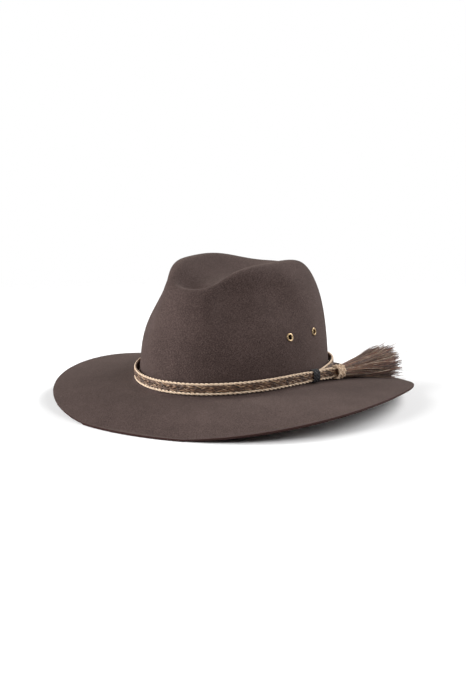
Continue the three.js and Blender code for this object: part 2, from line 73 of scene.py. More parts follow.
def place_camera():
    back = direction_at(AZIMUTH, ELEVATION)
    right = Vector((np.cos(AZIMUTH), np.sin(AZIMUTH), 0))
    upward = back.cross(right)
    data = bpy.data.cameras.new("photo_camera")
    data.sensor_fit = "VERTICAL"
    data.sensor_height = SENSOR
    data.lens = FOCAL_PX / FRAME_HEIGHT_PX * SENSOR
    data.clip_end = 20
    camera = bpy.data.objects.new("photo_camera", data)
    turn = Matrix((right, upward, back)).transposed().to_4x4()
    turn.translation = AIM + right * AIM_SIDEWAYS + upward * AIM_UPWARD + back * DISTANCE
    camera.matrix_world = turn
    bpy.context.scene.collection.objects.link(camera)
    bpy.context.scene.camera = camera
    return camera


camera = place_camera()
print("camera:", [round(value, 3) for value in camera.location], "lens", round(camera.data.lens, 1))

# %% [markdown]
# ## Small helpers
# Everything below makes meshes out of rows of points. A closed skin through rows is one helper, and so is
# handing a finished mesh to the frame: each piece rides on the hat's one body and takes the place of the
# plain nodes that it stands for.

# %% Helpers for meshes
MM = 0.001
PER_METRE = 1000
UP = np.array((0.0, 0.0, 1.0))


def unit(vectors):
    return vectors / np.linalg.norm(vectors, axis=-1, keepdims=True)


def smooth_step(value, low, high):
    share = np.clip((value - low) / (high - low), 0, 1)
    return share * share * (3 - 2 * share)


def bell(value, centre, width):
    return np.exp(-(((value - centre) / width) ** 2))


def mix(low, high, share):
    return low + (high - low) * share


def skin_faces(rows, count, closed=False):
    """Quads that join rows of points into a tube, counted round and then along."""
    faces = []
    for row in range(rows if closed else rows - 1):
        here = row * count
        there = ((row + 1) % rows) * count
        for i in range(count):
            j = (i + 1) % count
            faces.append((here + i, there + i, there + j, here + j))
    return faces


def turn_outwards(mesh):
    shape = bmesh.new()
    shape.from_mesh(mesh)
    if shape.calc_volume(signed=True) < 0:
        bmesh.ops.reverse_faces(shape, faces=shape.faces)
    shape.to_mesh(mesh)
    shape.free()


def smooth_faces(mesh):
    mesh.polygons.foreach_set("use_smooth", [True] * len(mesh.polygons))


def mesh_from(name, points, faces):
    mesh = bpy.data.meshes.new(name)
    mesh.from_pydata([tuple(point) for point in points], [], faces)
    mesh.validate()
    turn_outwards(mesh)
    smooth_faces(mesh)
    return mesh


def add_object(name, mesh):
    piece = bpy.data.objects.new(name, mesh)
    bpy.context.scene.collection.objects.link(piece)
    return piece


def join_pieces(first, second):
    """Puts the second piece's faces into the first one's mesh."""
    shape = bmesh.new()
    shape.from_mesh(first.data)
    shape.from_mesh(second.data)
    shape.to_mesh(first.data)
    shape.free()
    bpy.data.objects.remove(second)
    smooth_faces(first.data)


def hand_over(piece, material, slot, *nodes):
    """Gives a finished piece its material and its place in the frame."""
    piece.data.materials.clear()
    piece.data.materials.append(material)
    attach(piece, "root")
    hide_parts(*nodes)
    piece.data.calc_loop_triangles()
    print("made", piece.name, "with", len(piece.data.loop_triangles), "triangles")


# %% [markdown]
# ## The shape of the felt
# A hatter steams one piece of felt over a block, then creases it by hand. The same steps can be a formula:
# an oval dome with squared shoulders, pinched on both sides of the front, pressed down along the top, and
# leaning forwards a little. Hands are never quite even, so the right side's creases sit further back and are
# shallower than the left's. A formula keeps every fold soft, and a finer grid costs nothing to draw. In the
# tables, places round the crown are degrees from its front, levels are shares of its height, and the other
# lengths are shares of its half width or half length.

# %% Sizes of the felt
felt_low, felt_high = (np.array(corner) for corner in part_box("felt_body"))
HALF_BRIM_LENGTH = (felt_high[1] - felt_low[1]) / 2
HALF_BRIM_WIDTH = (felt_high[0] - felt_low[0]) / 2
HALF_LENGTH = 102.5 * MM
HALF_WIDTH = 86.5 * MM
CROWN_HEIGHT = 122 * MM
FOOT_HEIGHT = 24 * MM
FELT_WALL = 2 * MM
BRIM_CURL = 22.4 * MM
BRIM_PRESSED = 2.4 * MM
BREAK_RADIUS = 8 * MM
OVAL_NARROWS = 0.038
CROWN_PITCH = np.radians(1.1)
FOOT_WAVE = 1 * MM
RIGHT_RISE = {"height": 1.6 * MM, "across": 0.52, "low": 0.5, "high": 0.95}
BRIM_DROOP = 0.35
RIM_SQUARENESS = 2.1
CURL_POWER = {"front": 1.9, "back": 2.61}

WALLS = {
    "front": {"squareness": 3.6, "lean": 0.126},
    "side": {"squareness": 2.85, "lean": 0.075},
    "back": {"squareness": 4.65, "lean": 0.068},
}
CREASES = {
    "pinch": {"turn": 35.5, "ahead": 13, "behind": 20, "edge": 2, "level": 0.672, "below": 0.225,
              "above": 0.24, "depth": 0.05, "inward": 0.9, "back": 0.45},
    "flank": {"turn": 59.5, "ahead": 27, "behind": 27, "edge": 3, "level": 0.69, "below": 0.22,
              "above": 0.15, "depth": 0.075, "inward": 1, "back": 0},
}
LEFT_CREASES_AHEAD = 2.5
RIGHT_CREASES_LESS = 0.35
CREASE_BLEND = 0.115
TOP_DENT = {"starts": -0.9, "full": -0.56, "fades": 0.23, "ends": 1.17, "width": 0.393, "narrow": 0.596,
            "flatness": 2.6, "depth": 0.24, "low": 0.75, "high": 0.97}
FRONT_SLOPE = {"starts": -0.86, "ends": -0.393, "drop": 0.079}
print("brim:", round(2 * HALF_BRIM_LENGTH / MM), "by", round(2 * HALF_BRIM_WIDTH / MM), "mm")

# %% The crown as a formula
def wall_at(turn, name):
    front = np.clip(np.cos(turn), 0, 1) ** 2
    back = np.clip(-np.cos(turn), 0, 1) ** 2
    side = np.sin(turn) ** 2
    return WALLS["front"][name] * front + WALLS["side"][name] * side + WALLS["back"][name] * back


def crease_depth(crease, bearing, level):
    across = np.where(bearing < crease["turn"], crease["ahead"], crease["behind"])
    along = np.where(level < crease["level"], crease["below"], crease["above"])
    depth = crease["depth"] * 2 * HALF_WIDTH
    nearness = np.exp(-(np.abs((bearing - crease["turn"]) / across) ** crease["edge"]))
    return depth * nearness * bell(level, crease["level"], along)


def top_dent_depth(x, y, level):
    place = y / HALF_LENGTH
    sinks = smooth_step(place, TOP_DENT["starts"], TOP_DENT["full"])
    rises = 1 - smooth_step(place, TOP_DENT["fades"], TOP_DENT["ends"])
    opening = mix(TOP_DENT["narrow"], 1, smooth_step(place, TOP_DENT["starts"], 0))
    across = np.abs(x) / (TOP_DENT["width"] * HALF_WIDTH * opening)
    pressed = np.exp(-(across ** TOP_DENT["flatness"]))
    inside = smooth_step(level, TOP_DENT["low"], TOP_DENT["high"])
    return TOP_DENT["depth"] * CROWN_HEIGHT * sinks * rises * inside * pressed


def crown_point(turn, climb):
    """Outside of the crown: turn goes round from the front, climb rises from 0 at its foot to 90 degrees."""
    power = wall_at(turn, "squareness")
    reach_share = np.clip(np.cos(climb), 0, 1)
    level_share = np.sin(climb)
    size = (reach_share ** power + level_share ** power) ** (-1 / power)
    level = size * level_share
    inset = 1 - wall_at(turn, "lean") * level
    x = HALF_WIDTH * size * reach_share * inset * np.sin(turn)
    y = -HALF_LENGTH * size * reach_share * inset * np.cos(turn)
    slope = 1 - smooth_step(y / HALF_LENGTH, FRONT_SLOPE["starts"], FRONT_SLOPE["ends"])
    z = CROWN_HEIGHT * level * (1 - FRONT_SLOPE["drop"] * slope)
    side = np.tanh(x / (CREASE_BLEND * HALF_WIDTH))
    bearing = np.degrees(np.arctan2(np.abs(x), -y)) + LEFT_CREASES_AHEAD * side
    share = 1 - RIGHT_CREASES_LESS * (1 - side) / 2
    for crease in CREASES.values():
        depth = share * crease_depth(crease, bearing, level)
        x = x - side * crease["inward"] * depth
        y = y + crease["back"] * depth
    z = z - top_dent_depth(x, y, level)
    tilt = RIGHT_RISE["height"] * x / (RIGHT_RISE["across"] * HALF_WIDTH)
    z = z - tilt * smooth_step(level, RIGHT_RISE["low"], RIGHT_RISE["high"])
    z = z - FOOT_WAVE * np.cos(2 * turn) * (1 - level)
    x = x * (1 - OVAL_NARROWS * np.cos(turn))
    c, s = np.cos(CROWN_PITCH), np.sin(CROWN_PITCH)
    return np.stack(np.broadcast_arrays(x, c * y - s * z, FOOT_HEIGHT + s * y + c * z), -1)


dent_bottom = crown_point(np.array(0.0), np.array(np.pi / 2))
print("bottom of the top dent:", round(dent_bottom[2] / MM, 1), "mm above the floor")

# %% [markdown]
# ## The brim
# The brim is a plate of felt that dips at the front and back and curls up at the sides. Each ray of it runs
# from the crown's foot to the cut edge, so it needs only the height of the edge at each bearing and how
# fast the felt falls on the way. Its lowest strips are pressed flat, as a hat's are where it rests.

# %% The brim as a formula
SEARCH_ANGLE = 0.3
SEARCH_STEPS = 30


def foot_point(turn):
    return crown_point(turn, 0.0 * turn)


def rim_point(turn):
    s, c = np.sin(turn), np.cos(turn)
    across = np.abs(s / HALF_BRIM_WIDTH) ** RIM_SQUARENESS
    along = np.abs(c / HALF_BRIM_LENGTH) ** RIM_SQUARENESS
    radius = (across + along) ** (-1 / RIM_SQUARENESS)
    power = np.where(c > 0, CURL_POWER["front"], CURL_POWER["back"])
    z = BRIM_CURL * np.abs(s) ** power - BRIM_PRESSED + FELT_WALL
    return np.stack((radius * s, -radius * c, z), -1)


def brim_point(turn, share):
    """Top of the brim: share runs from the crown's foot at 0 to the cut edge at 1."""
    foot, rim = foot_point(turn), rim_point(turn)
    fall = BRIM_DROOP * share + (1 - BRIM_DROOP) * share ** 2
    point = foot + (rim - foot) * share[..., None]
    point[..., 2] = np.maximum(FELT_WALL, mix(foot[..., 2], rim[..., 2], fall))
    return point


def break_share(turn):
    return BREAK_RADIUS / np.linalg.norm(rim_point(turn) - foot_point(turn), axis=-1)


def break_point(turn, bend):
    foot = foot_point(turn)
    wall_arm = crown_point(turn, 0 * turn + np.arctan(BREAK_RADIUS / CROWN_HEIGHT)) - foot
    brim_arm = brim_point(turn, break_share(turn)) - foot
    return foot + wall_arm * (1 - np.sin(bend)) + brim_arm * (1 - np.cos(bend))


def brim_top(x, y):
    """Height of the brim's top under points beside the crown."""
    low = np.arctan2(x, -y) - SEARCH_ANGLE
    high = low + 2 * SEARCH_ANGLE
    for _ in range(SEARCH_STEPS):
        half = (low + high) / 2
        foot = foot_point(half)
        way = rim_point(half) - foot
        before = way[..., 0] * (y - foot[..., 1]) - way[..., 1] * (x - foot[..., 0]) > 0
        low = np.where(before, half, low)
        high = np.where(before, high, half)
    foot = foot_point(low)
    way = rim_point(low) - foot
    across = (x - foot[..., 0]) * way[..., 0] + (y - foot[..., 1]) * way[..., 1]
    share = across / (way[..., 0] ** 2 + way[..., 1] ** 2)
    return brim_point(low, np.clip(share, 0, 1))[..., 2]


rim_side = rim_point(np.array(np.pi / 2))
print("top of the brim's side curl:", round(rim_side[2] / MM, 1), "mm above the floor")

# %% [markdown]
# ## Felt as a wall
# The outside is one grid of points from the top of the crown, down its wall, round the break and out along
# the brim. Moved in along its own normals by the thickness of the felt, it becomes the inside. A few rows
# of rounded edge join the two, because a cut felt edge is never knife sharp. Those rows are marked with an
# attribute, because the finish is darker where the felt was cut.

# %% The felt body
FELT_COLUMNS = 384
CROWN_ROWS = 84
BREAK_ROWS = 9
BRIM_ROWS = 42
EDGE_ROWS = 6
EDGE_SWELLS = 0.35 * MM
RIM_CROWDING = 1.25
FLAT_LIMIT = 0.001 * MM


def felt_outside():
    turns = np.linspace(0, 2 * np.pi, FELT_COLUMNS, endpoint=False)
    lowest = np.arctan(BREAK_RADIUS / CROWN_HEIGHT)
    climbs = np.linspace(np.pi / 2, lowest, CROWN_ROWS)[1:-1]
    rows = [crown_point(turns, 0 * turns + climb) for climb in climbs]
    rows += [break_point(turns, bend) for bend in np.linspace(0, np.pi / 2, BREAK_ROWS)]
    shares = 1 - (1 - np.linspace(0, 1, BRIM_ROWS)[1:]) ** RIM_CROWDING
    rows += [brim_point(turns, mix(break_share(turns), 1, share)) for share in shares]
    return np.array(rows), crown_point(np.array(0.0), np.array(np.pi / 2))


def grid_normals(grid):
    down = np.gradient(grid, axis=0)
    around = np.roll(grid, -1, axis=1) - np.roll(grid, 1, axis=1)
    return unit(np.cross(down, around))


def felt_mesh():
    outside, top = felt_outside()
    normals = grid_normals(outside)
    inside = outside - normals * FELT_WALL
    pressed = outside[..., 2] < FELT_WALL + FLAT_LIMIT
    inside[..., :2] = np.where(pressed[..., None], outside[..., :2], inside[..., :2])
    inside[..., 2] = np.where(pressed, 0, np.maximum(inside[..., 2], 0))
    middle = (outside[-1] + inside[-1]) / 2
    half = (outside[-1] - inside[-1]) / 2
    outward = unit(outside[-1] - outside[-2])
    angles = np.linspace(0, np.pi, EDGE_ROWS + 2)[1:-1]
    edge = [middle + half * np.cos(angle) + outward * EDGE_SWELLS * np.sin(angle) for angle in angles]
    rows = np.concatenate((outside, np.array(edge), inside[::-2]))
    faces = skin_faces(len(rows), FELT_COLUMNS)
    points = [*rows.reshape(-1, 3), top, top - FELT_WALL * UP]
    first, last = len(points) - 2, (len(rows) - 1) * FELT_COLUMNS
    for i in range(FELT_COLUMNS):
        j = (i + 1) % FELT_COLUMNS
        faces.append((first, i, j))
        faces.append((first + 1, last + j, last + i))
    mesh = mesh_from("felt_hat", points, faces)
    cut = np.zeros(len(points))
    cut[len(outside) * FELT_COLUMNS:(len(outside) + EDGE_ROWS) * FELT_COLUMNS] = 1
    mesh.attributes.new("cut", "FLOAT", "POINT").data.foreach_set("value", cut)
    return mesh


felt_hat = add_object("felt_hat", felt_mesh())
print("felt grid:", FELT_COLUMNS, "columns round the hat")

# %% [markdown]
# ## Vent eyelets
# Two small brass eyelets sit in each side of the crown. Each is turned like a bead on a lathe: a barrel
# through the felt, with a rolled flange pressed against each face. The eyelets cut nothing themselves, so
# four plain pegs cut the holes for them, and are thrown away.

# %% Eyelets
EYELET_LEVEL = 45 * MM / CROWN_HEIGHT
EYELET_TURNS = {"front": 73.5, "rear": 94.7}
EYELET_BORE = 2.1 * MM
EYELET_BARREL = 2.5 * MM
EYELET_FLANGE = 3.9 * MM
EYELET_LIP = 0.8 * MM
EYELET_LIP_FULLNESS = 0.8
EYELET_LIP_POINTS = 13
EYELET_SEGMENTS = 40
FLANGE_CLEAR = 0.1 * MM
BARREL_STEP = 0.05 * MM
HOLE_CLEAR = 0.2 * MM
PEG_LENGTH = 12 * MM
PEG_SEGMENTS = 24
SLOPE_STEP = 0.01


def eyelet_seat(turn):
    turn = np.array(turn)
    power = wall_at(turn, "squareness")
    climb = np.arctan2(EYELET_LEVEL, (1 - EYELET_LEVEL ** power) ** (1 / power))
    sideways = crown_point(turn + SLOPE_STEP, climb) - crown_point(turn - SLOPE_STEP, climb)
    upward = crown_point(turn, climb + SLOPE_STEP) - crown_point(turn, climb - SLOPE_STEP)
    return crown_point(turn, climb), unit(np.cross(sideways, upward))


def lathe_points(profile, centre, way, segments):
    """Turns (radius, along) pairs about an axis through a place."""
    side = unit(np.cross(way, UP))
    other = np.cross(way, side)
    angles = np.linspace(0, 2 * np.pi, segments, endpoint=False)
    spokes = np.outer(np.cos(angles), side) + np.outer(np.sin(angles), other)
    return np.array([centre + radius * spokes + along * way for radius, along in profile])


def rolled_flange(seat, direction):
    """Half of an eyelet's profile: from the bore, over the rolled lip, to the flange's underside."""
    centre_radius = (EYELET_BORE + EYELET_FLANGE) / 2
    reach = (EYELET_FLANGE - EYELET_BORE) / 2
    profile = []
    for angle in np.linspace(np.pi, 0, EYELET_LIP_POINTS):
        lift = EYELET_LIP * np.sin(angle) ** EYELET_LIP_FULLNESS
        profile.append((centre_radius + reach * np.cos(angle), seat + direction * lift))
    return profile


def make_eyelets():
    outer = rolled_flange(FLANGE_CLEAR, 1)
    inner = rolled_flange(-FELT_WALL - FLANGE_CLEAR, -1)
    barrel = [(EYELET_BARREL, BARREL_STEP), (EYELET_BARREL, -FELT_WALL - BARREL_STEP)]
    profile = outer + barrel + inner[::-1]
    pegs = bmesh.new()
    made = []
    for place, degrees in EYELET_TURNS.items():
        for side, sign in (("left", 1), ("right", -1)):
            centre, way = eyelet_seat(np.radians(sign * degrees))
            rows = lathe_points(profile, centre, way, EYELET_SEGMENTS)
            faces = skin_faces(len(rows), EYELET_SEGMENTS, closed=True)
            mesh = mesh_from("eyelet", rows.reshape(-1, 3), faces)
            made.append((add_object(f"brass_eyelet_{side}_{place}", mesh), f"eyelet_{side}_{place}"))
            turn = Vector((0, 0, 1)).rotation_difference(Vector(way)).to_matrix().to_4x4()
            bmesh.ops.create_cone(pegs, cap_ends=True, segments=PEG_SEGMENTS, depth=PEG_LENGTH,
                                  radius1=EYELET_BARREL + HOLE_CLEAR, radius2=EYELET_BARREL + HOLE_CLEAR,
                                  matrix=Matrix.Translation(centre) @ turn)
    peg_mesh = bpy.data.meshes.new("pegs")
    pegs.to_mesh(peg_mesh)
    pegs.free()
    return made, add_object("pegs", peg_mesh)


def cut_holes(body, cutter):
    modifier = body.modifiers.new("holes", "BOOLEAN")
    modifier.object = cutter
    modifier.solver = "EXACT"
    depsgraph = bpy.context.evaluated_depsgraph_get()
    cut = bpy.data.meshes.new_from_object(body.evaluated_get(depsgraph))
    body.modifiers.clear()
    body.data = cut
    bpy.data.objects.remove(cutter)
    smooth_faces(cut)


eyelets, pegs = make_eyelets()
cut_holes(felt_hat, pegs)
print("eyelets:", [piece.name for piece, _ in eyelets])

# %% [markdown]
# ## Formulas inside node trees
# Geometry Nodes and shaders both do sums with Math nodes, and a long sum is hard to read as a page of
# nodes. This small class wraps a socket so that a formula can be written with plus and times signs, and
# each sign adds the node that it stands for.


# %% A socket that can do sums
class Field:
    """A socket of a node tree that can be used in sums."""

    def __init__(self, tree, socket):
        self.tree = tree
        self.socket = socket

    def math(self, operation, other=None, swapped=False):
        node = self.tree.nodes.new("ShaderNodeMath")
        node.operation = operation
        first, second = (other, self) if swapped else (self, other)
        plug(self.tree, first, node.inputs[0])
        if second is not None:
            plug(self.tree, second, node.inputs[1])
        return Field(self.tree, node.outputs[0])

    def __add__(self, other):
        return self.math("ADD", other)

    def __sub__(self, other):
        return self.math("SUBTRACT", other)

    def __rsub__(self, other):
        return self.math("SUBTRACT", other, swapped=True)

    def __mul__(self, other):
        return self.math("MULTIPLY", other)

    def __truediv__(self, other):
        return self.math("DIVIDE", other)

    def __pow__(self, other):
        return self.math("POWER", other)

    def sin(self):
        return self.math("SINE")

    def cos(self):
        return self.math("COSINE")


# %% Nodes and their links
def plug(tree, value, socket):
    """Sets a socket to a number, or links a Field or another socket to it."""
    if isinstance(value, Field):
        tree.links.new(value.socket, socket)
    elif isinstance(value, bpy.types.NodeSocket):
        tree.links.new(value, socket)
    else:
        socket.default_value = value


def add_node(tree, kind, inputs=None, **settings):
    node = tree.nodes.new(kind)
    for name, value in settings.items():
        setattr(node, name, value)
    for name, value in (inputs or {}).items():
        plug(tree, value, node.inputs[name])
    return node


def scaled(tree, vector, amount):
    node = add_node(tree, "ShaderNodeVectorMath", operation="SCALE")
    plug(tree, vector, node.inputs[0])
    plug(tree, amount, node.inputs["Scale"])
    return node.outputs[0]


def vector_total(tree, *vectors):
    total = vectors[0]
    for vector in vectors[1:]:
        node = add_node(tree, "ShaderNodeVectorMath", operation="ADD")
        plug(tree, total, node.inputs[0])
        plug(tree, vector, node.inputs[1])
        total = node.outputs[0]
    return total


# %% [markdown]
# ## Trees with named inputs
# A tree is a recipe, and its inputs are the sizes that a cook may change: how many strands, how thick, how
# long. The script makes those inputs by name, and sets each one by its socket's identifier when the tree is
# used. Chance comes from a seed, so that the same hairs grow each time the script runs.


# %% Inputs, attributes and chance
def new_geometry_tree(name, sockets):
    """A Geometry Nodes tree with named inputs, and the fields that read them."""
    tree = bpy.data.node_groups.new(name, "GeometryNodeTree")
    tree.interface.new_socket("Geometry", in_out="INPUT", socket_type="NodeSocketGeometry")
    for label, kind in sockets.items():
        tree.interface.new_socket(label, in_out="INPUT", socket_type=f"NodeSocket{kind}")
    tree.interface.new_socket("Geometry", in_out="OUTPUT", socket_type="NodeSocketGeometry")
    entry = tree.nodes.new("NodeGroupInput")
    fields = {label: Field(tree, entry.outputs[label]) for label in sockets}
    return tree, entry.outputs["Geometry"], fields


def named_field(tree, name, kind="FLOAT"):
    node = add_node(tree, "GeometryNodeInputNamedAttribute", data_type=kind)
    node.inputs["Name"].default_value = name
    return Field(tree, node.outputs["Attribute"])


def copy_splines(tree, curve, amount):
    """Copies every spline, and gives the copies with their numbers as a field."""
    node = add_node(tree, "GeometryNodeDuplicateElements", {"Geometry": curve}, domain="SPLINE")
    plug(tree, amount, node.inputs["Amount"])
    return node.outputs["Geometry"], Field(tree, node.outputs["Duplicate Index"])


def store_tone(tree, curve, value):
    node = add_node(tree, "GeometryNodeStoreNamedAttribute", data_type="FLOAT", domain="POINT")
    node.inputs["Name"].default_value = "tone"
    plug(tree, curve, node.inputs["Geometry"])
    plug(tree, value, node.inputs["Value"])
    return node.outputs["Geometry"]


def random_field(tree, identity, seed, low=0.0, high=1.0):
    node = add_node(tree, "FunctionNodeRandomValue", data_type="FLOAT")
    floats = [socket for socket in node.inputs if socket.type == "VALUE"]
    floats[0].default_value = low
    floats[1].default_value = high
    plug(tree, identity, node.inputs["ID"])
    plug(tree, seed, node.inputs["Seed"])
    value = next(socket for socket in node.outputs if socket.type == "VALUE")
    return Field(tree, value)


# %% The end of a tree, and its use
def finish_tree(tree, curve, radius, sides, material):
    """Sweeps a round section along every curve, shades it smooth, and ends the tree with real instances and
    its material.
    """
    section = add_node(tree, "GeometryNodeCurvePrimitiveCircle", {"Radius": radius, "Resolution": sides})
    sweep = add_node(tree, "GeometryNodeCurveToMesh", {
        "Curve": curve, "Profile Curve": section.outputs["Curve"]})
    sweep.inputs["Fill Caps"].default_value = True
    smooth = add_node(tree, "GeometryNodeSetShadeSmooth", {"Geometry": sweep.outputs["Mesh"]})
    real = add_node(tree, "GeometryNodeRealizeInstances", {"Geometry": smooth.outputs["Geometry"]})
    dressed = add_node(tree, "GeometryNodeSetMaterial", {
        "Geometry": real.outputs["Geometry"], "Material": material})
    end = tree.nodes.new("NodeGroupOutput")
    tree.links.new(dressed.outputs["Geometry"], end.inputs["Geometry"])


def grow(name, base_mesh, tree, values):
    """Runs a tree on a base mesh and keeps the plain mesh that comes out."""
    carrier = add_object(name + "_base", base_mesh)
    modifier = carrier.modifiers.new("grow", "NODES")
    modifier.node_group = tree
    for item in tree.interface.items_tree:
        if item.in_out == "INPUT" and item.name in values:
            modifier[item.identifier] = values[item.name]
    depsgraph = bpy.context.evaluated_depsgraph_get()
    mesh = bpy.data.meshes.new_from_object(carrier.evaluated_get(depsgraph), depsgraph=depsgraph)
    carrier.modifiers.clear()
    bpy.data.objects.remove(carrier)
    mesh.name = name
    turn_outwards(mesh)
    return add_object(name, mesh)


# %% [markdown]
# ## Finishes
# Felt, thread and hair all want fine irregular grain, so that is one node group placed in each material
# with its own scale. Everything reads Object coordinates or a value stored on the mesh itself, which keeps
# the pattern still when the hat is turned or exported.


# %% Shared shader group
def make_grain_group():
    """Two sizes of soft noise added up: a height for bump and a mask for colour."""
    tree = bpy.data.node_groups.new("soft_grain", "ShaderNodeTree")
    for label in ("Fine scale", "Broad scale", "Fine share"):
        tree.interface.new_socket(label, in_out="INPUT", socket_type="NodeSocketFloat")
    tree.interface.new_socket("Height", in_out="OUTPUT", socket_type="NodeSocketFloat")
    tree.interface.new_socket("Mottle", in_out="OUTPUT", socket_type="NodeSocketFloat")
    entry = tree.nodes.new("NodeGroupInput")
    place = add_node(tree, "ShaderNodeTexCoord").outputs["Object"]
    fine = add_node(tree, "ShaderNodeTexNoise", {"Vector": place, "Scale": entry.outputs["Fine scale"],
                                                 "Detail": 3.0, "Roughness": 0.65})
    broad = add_node(tree, "ShaderNodeTexNoise", {"Vector": place, "Scale": entry.outputs["Broad scale"],
                                                  "Detail": 4.0, "Roughness": 0.55})
    share = Field(tree, entry.outputs["Fine share"])
    fine_value = Field(tree, fine.outputs[0])
    broad_value = Field(tree, broad.outputs[0])
    height = fine_value * share + broad_value * (1 - share)
    end = tree.nodes.new("NodeGroupOutput")
    tree.links.new(height.socket, end.inputs["Height"])
    tree.links.new(broad_value.socket, end.inputs["Mottle"])
    return tree


soft_grain = make_grain_group()


def colour(red, green, blue):
    """A picture colour, 0 to 255, as the linear numbers that Blender works in."""
    def linear(value):
        share = value / 255
        return share / 12.92 if share <= 0.04045 else ((share + 0.055) / 1.055) ** 2.4
    return (linear(red), linear(green), linear(blue), 1.0)


def new_material(name, roughness, metallic=0.0):
    material = bpy.data.materials.new(name)
    material.use_nodes = True
    shader = material.node_tree.nodes["Principled BSDF"]
    shader.inputs["Roughness"].default_value = roughness
    shader.inputs["Metallic"].default_value = metallic
    return material, material.node_tree, shader


def grain_node(tree, fine, broad, share):
    node = tree.nodes.new("ShaderNodeGroup")
    node.node_tree = soft_grain
    node.inputs["Fine scale"].default_value = fine
    node.inputs["Broad scale"].default_value = broad
    node.inputs["Fine share"].default_value = share
    return node


def ramp(tree, factor, stops):
    node = add_node(tree, "ShaderNodeValToRGB")
    elements = node.color_ramp.elements
    while len(elements) < len(stops):
        elements.new(0.5)
    for element, (place, shade) in zip(elements, stops):
        element.position = place
        element.color = shade
    plug(tree, factor, node.inputs["Fac"])
    return node.outputs["Color"]


def bump_from(tree, height, strength, distance):
    node = add_node(tree, "ShaderNodeBump", {"Strength": strength, "Distance": distance})
    plug(tree, height, node.inputs["Height"])
    return node.outputs["Normal"]


# %% [markdown]
# ## Felt and brass
# Brushed felt throws back hardly any shine. Its fine grain is both its colour and its roughness to the eye,
# and a little sheen lightens the nap where it is seen from the side. The cut edge is a plain darker red
# brown. Aged brass is a metal that has lost its polish, so it is rough and its colour is uneven.


# %% Felt
FELT_MOTTLE = 0.06


def felt_material():
    material, tree, shader = new_material("brushed_felt", roughness=0.92)
    grain = grain_node(tree, fine=1400, broad=40, share=0.92)
    height = Field(tree, grain.outputs["Height"])
    mottle = Field(tree, grain.outputs["Mottle"])
    tone = height * (1 - FELT_MOTTLE) + mottle * FELT_MOTTLE
    shades = ((0.36, colour(42, 32, 30)), (0.50, colour(66, 53, 50)), (0.64, colour(88, 73, 70)))
    cut = add_node(tree, "ShaderNodeAttribute", attribute_name="cut").outputs["Fac"]
    edged = add_node(tree, "ShaderNodeMix", {"Factor": cut}, data_type="RGBA")
    colours = [socket for socket in edged.inputs if socket.type == "RGBA"]
    plug(tree, ramp(tree, tone, shades), colours[0])
    plug(tree, colour(46, 27, 25), colours[1])
    mixed = next(socket for socket in edged.outputs if socket.type == "RGBA")
    plug(tree, mixed, shader.inputs["Base Color"])
    shader.inputs["Sheen Weight"].default_value = 0.12
    shader.inputs["Sheen Roughness"].default_value = 0.5
    shader.inputs["Sheen Tint"].default_value = colour(190, 172, 160)
    shader.inputs["Specular IOR Level"].default_value = 0.15
    plug(tree, bump_from(tree, height, strength=0.7, distance=0.3 * MM), shader.inputs["Normal"])
    return material


# %% Brass
def brass_material():
    material, tree, shader = new_material("aged_brass", roughness=0.46, metallic=1.0)
    grain = grain_node(tree, fine=2600, broad=500, share=0.5)
    mottle = Field(tree, grain.outputs["Mottle"])
    shades = ((0.35, colour(120, 98, 72)), (0.55, colour(176, 152, 118)), (0.75, colour(198, 176, 142)))
    plug(tree, ramp(tree, mottle, shades), shader.inputs["Base Color"])
    height = Field(tree, grain.outputs["Height"])
    plug(tree, bump_from(tree, height, strength=0.15, distance=0.05 * MM), shader.inputs["Normal"])
    return material


# %% [markdown]
# ## Hair, cord and thread
# No two hairs in a bundle have the same colour. The node tree stores a number on each strand, its tone, and
# the material looks that number up in a row of shades. One function makes all four finishes, because they
# differ only in their shades and their shine.


# %% Hair, cord and thread
STRAND_GRAIN = {"fine": 2200, "broad": 260, "share": 0.5}
STRAND_TONE = 0.82
STRAND_MOTTLE = 0.36
STRAND_DARKER = 0.09


def strand_material(name, shades, roughness, specular, sheen):
    """Each strand has its own stored tone, with a little grain across it."""
    material, tree, shader = new_material(name, roughness=roughness)
    attribute = add_node(tree, "ShaderNodeAttribute", attribute_name="tone")
    tone = Field(tree, attribute.outputs["Fac"])
    grain = grain_node(tree, **STRAND_GRAIN)
    mottle = Field(tree, grain.outputs["Mottle"])
    factor = tone * STRAND_TONE + mottle * STRAND_MOTTLE - STRAND_DARKER
    plug(tree, ramp(tree, factor, shades), shader.inputs["Base Color"])
    shader.inputs["Specular IOR Level"].default_value = specular
    shader.inputs["Sheen Weight"].default_value = sheen
    height = Field(tree, grain.outputs["Height"])
    plug(tree, bump_from(tree, height, strength=0.35, distance=0.08 * MM), shader.inputs["Normal"])
    return material


felt = felt_material()
brass = brass_material()
plait_hair = strand_material(
    "plaited_horsehair",
    ((0.0, colour(30, 21, 17)), (0.3, colour(66, 46, 34)), (0.55, colour(98, 70, 51)),
     (0.8, colour(142, 106, 76)), (1.0, colour(190, 166, 136))),
    roughness=0.5, specular=0.4, sheen=0.1)
cream_cord = strand_material(
    "cream_cord",
    ((0.0, colour(178, 148, 122)), (0.5, colour(216, 192, 166)), (1.0, colour(240, 224, 204))),
    roughness=0.7, specular=0.25, sheen=0.2)
black_thread = strand_material(
    "black_thread",
    ((0.0, colour(22, 21, 23)), (0.6, colour(40, 39, 42)), (1.0, colour(66, 64, 68))),
    roughness=0.55, specular=0.4, sheen=0.1)
tassel_hair = strand_material(
    "tassel_horsehair",
    ((0.0, colour(28, 19, 16)), (0.25, colour(72, 43, 31)), (0.45, colour(126, 72, 46)),
     (0.62, colour(88, 69, 59)), (0.8, colour(148, 114, 88)), (1.0, colour(218, 200, 178))),
    roughness=0.45, specular=0.45, sheen=0.1)
print("finishes:", [material.name for material in bpy.data.materials])

